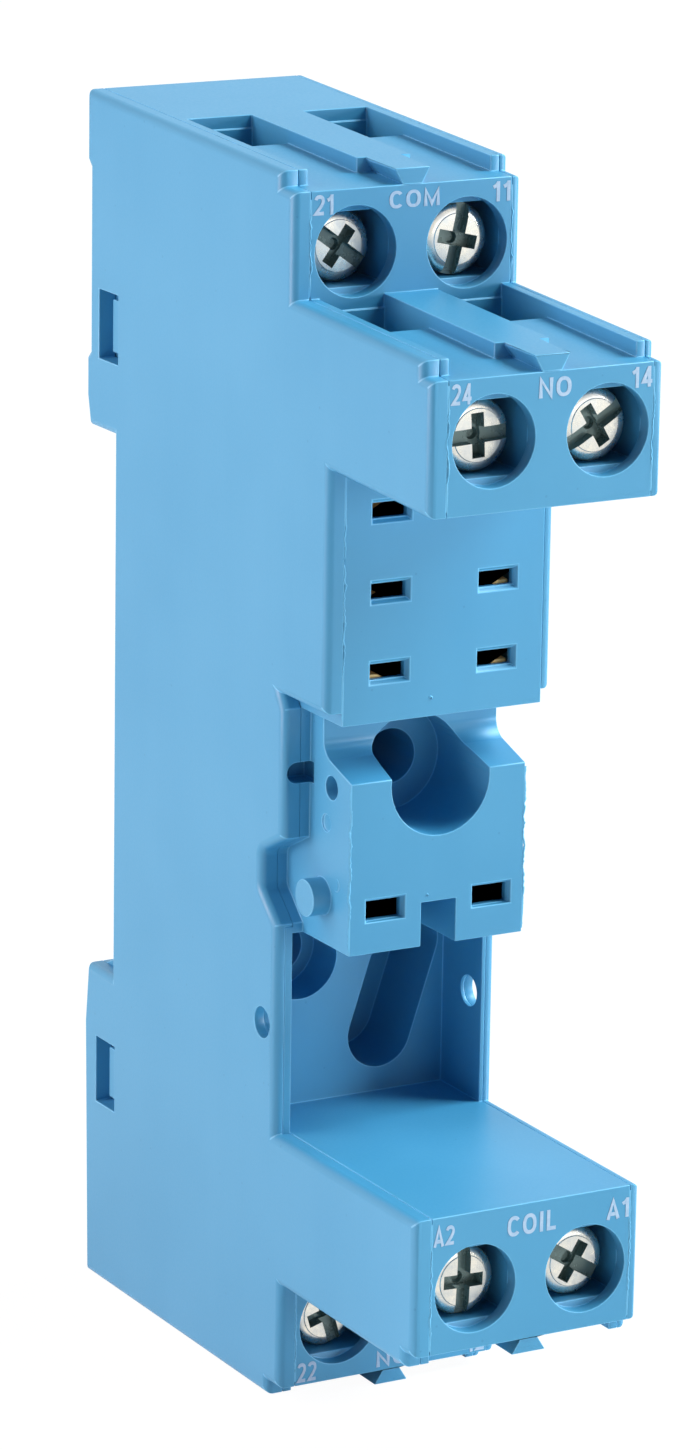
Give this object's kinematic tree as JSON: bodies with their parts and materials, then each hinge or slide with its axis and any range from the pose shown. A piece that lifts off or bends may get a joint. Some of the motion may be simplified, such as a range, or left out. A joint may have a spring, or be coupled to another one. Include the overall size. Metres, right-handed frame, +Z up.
{
  "type": "relay socket",
  "caption": "Narrow blue relay socket for a mounting rail or panel, with screw clamp terminals in stepped rows at both ends and a slotted relay seat between them.",
  "frame": {"origin": "centre of the rail seat, on the flat back wall of the rail notch", "axes": "+Z up along the socket's length, -Y out of the front towards the relay, X across the width"},
  "size_m": [0.0158, 0.0444, 0.0794],
  "materials": {
    "blue_plastic": "satin",
    "brass": "satin",
    "zinc_plate": "satin",
    "zinc_screw": "bright"
  },
  "bodies": {
    "socket": {"housing_body": "blue_plastic", "left_cover": "blue_plastic", "right_cover": "blue_plastic", "contact_strip_21": "brass", "contact_strip_11": "brass", "contact_strip_24": "brass", "contact_strip_14": "brass", "contact_strip_A2": "brass", "contact_strip_A1": "brass", "contact_strip_22": "brass", "contact_strip_12": "brass"},
    "clamp_21": {"clamp_plate_21": "zinc_plate"},
    "screw_21": {"terminal_screw_21": "zinc_screw"},
    "clamp_11": {"clamp_plate_11": "zinc_plate"},
    "screw_11": {"terminal_screw_11": "zinc_screw"},
    "clamp_24": {"clamp_plate_24": "zinc_plate"},
    "screw_24": {"terminal_screw_24": "zinc_screw"},
    "clamp_14": {"clamp_plate_14": "zinc_plate"},
    "screw_14": {"terminal_screw_14": "zinc_screw"},
    "clamp_A2": {"clamp_plate_A2": "zinc_plate"},
    "screw_A2": {"terminal_screw_A2": "zinc_screw"},
    "clamp_A1": {"clamp_plate_A1": "zinc_plate"},
    "screw_A1": {"terminal_screw_A1": "zinc_screw"},
    "clamp_22": {"clamp_plate_22": "zinc_plate"},
    "screw_22": {"terminal_screw_22": "zinc_screw"},
    "clamp_12": {"clamp_plate_12": "zinc_plate"},
    "screw_12": {"terminal_screw_12": "zinc_screw"}
  },
  "joints": [
    {"name": "clamp_travel_21", "type": "slide", "parent": "socket", "child": "clamp_21", "axis": [0, 1, 0], "range_m": [0, 0.0035]},
    {"name": "screw_turn_21", "type": "hinge", "parent": "clamp_21", "child": "screw_21", "pos_m": [-0.00356, -0.0215, 0.03355], "axis": [0, 1, 0], "range_deg": [0, 2520]},
    {"name": "clamp_travel_11", "type": "slide", "parent": "socket", "child": "clamp_11", "axis": [0, 1, 0], "range_m": [0, 0.0035]},
    {"name": "screw_turn_11", "type": "hinge", "parent": "clamp_11", "child": "screw_11", "pos_m": [0.00419, -0.0224, 0.03355], "axis": [0, 1, 0], "range_deg": [0, 2520]},
    {"name": "clamp_travel_24", "type": "slide", "parent": "socket", "child": "clamp_24", "axis": [0, 1, 0], "range_m": [0, 0.0035]},
    {"name": "screw_turn_24", "type": "hinge", "parent": "clamp_24", "child": "screw_24", "pos_m": [-0.00356, -0.03855, 0.02515], "axis": [0, 1, 0], "range_deg": [0, 2520]},
    {"name": "clamp_travel_14", "type": "slide", "parent": "socket", "child": "clamp_14", "axis": [0, 1, 0], "range_m": [0, 0.0035]},
    {"name": "screw_turn_14", "type": "hinge", "parent": "clamp_14", "child": "screw_14", "pos_m": [0.00419, -0.03895, 0.02515], "axis": [0, 1, 0], "range_deg": [0, 2520]},
    {"name": "clamp_travel_A2", "type": "slide", "parent": "socket", "child": "clamp_A2", "axis": [0, 1, 0], "range_m": [0, 0.0035]},
    {"name": "screw_turn_A2", "type": "hinge", "parent": "clamp_A2", "child": "screw_A2", "pos_m": [-0.00356, -0.03895, -0.02705], "axis": [0, 1, 0], "range_deg": [0, 2520]},
    {"name": "clamp_travel_A1", "type": "slide", "parent": "socket", "child": "clamp_A1", "axis": [0, 1, 0], "range_m": [0, 0.0035]},
    {"name": "screw_turn_A1", "type": "hinge", "parent": "clamp_A1", "child": "screw_A1", "pos_m": [0.00419, -0.03895, -0.02705], "axis": [0, 1, 0], "range_deg": [0, 2520]},
    {"name": "clamp_travel_22", "type": "slide", "parent": "socket", "child": "clamp_22", "axis": [0, 1, 0], "range_m": [0, 0.0035]},
    {"name": "screw_turn_22", "type": "hinge", "parent": "clamp_22", "child": "screw_22", "pos_m": [-0.00356, -0.022, -0.03485], "axis": [0, 1, 0], "range_deg": [0, 2520]},
    {"name": "clamp_travel_12", "type": "slide", "parent": "socket", "child": "clamp_12", "axis": [0, 1, 0], "range_m": [0, 0.0035]},
    {"name": "screw_turn_12", "type": "hinge", "parent": "clamp_12", "child": "screw_12", "pos_m": [0.00419, -0.0221, -0.03485], "axis": [0, 1, 0], "range_deg": [0, 2520]}
  ],
  "couplings": [
    {"joint": "screw_turn_21", "follows": "clamp_travel_21", "rad_per_m": 12566},
    {"joint": "screw_turn_11", "follows": "clamp_travel_11", "rad_per_m": 12566},
    {"joint": "screw_turn_24", "follows": "clamp_travel_24", "rad_per_m": 12566},
    {"joint": "screw_turn_14", "follows": "clamp_travel_14", "rad_per_m": 12566},
    {"joint": "screw_turn_A2", "follows": "clamp_travel_A2", "rad_per_m": 12566},
    {"joint": "screw_turn_A1", "follows": "clamp_travel_A1", "rad_per_m": 12566},
    {"joint": "screw_turn_22", "follows": "clamp_travel_22", "rad_per_m": 12566},
    {"joint": "screw_turn_12", "follows": "clamp_travel_12", "rad_per_m": 12566}
  ]
}
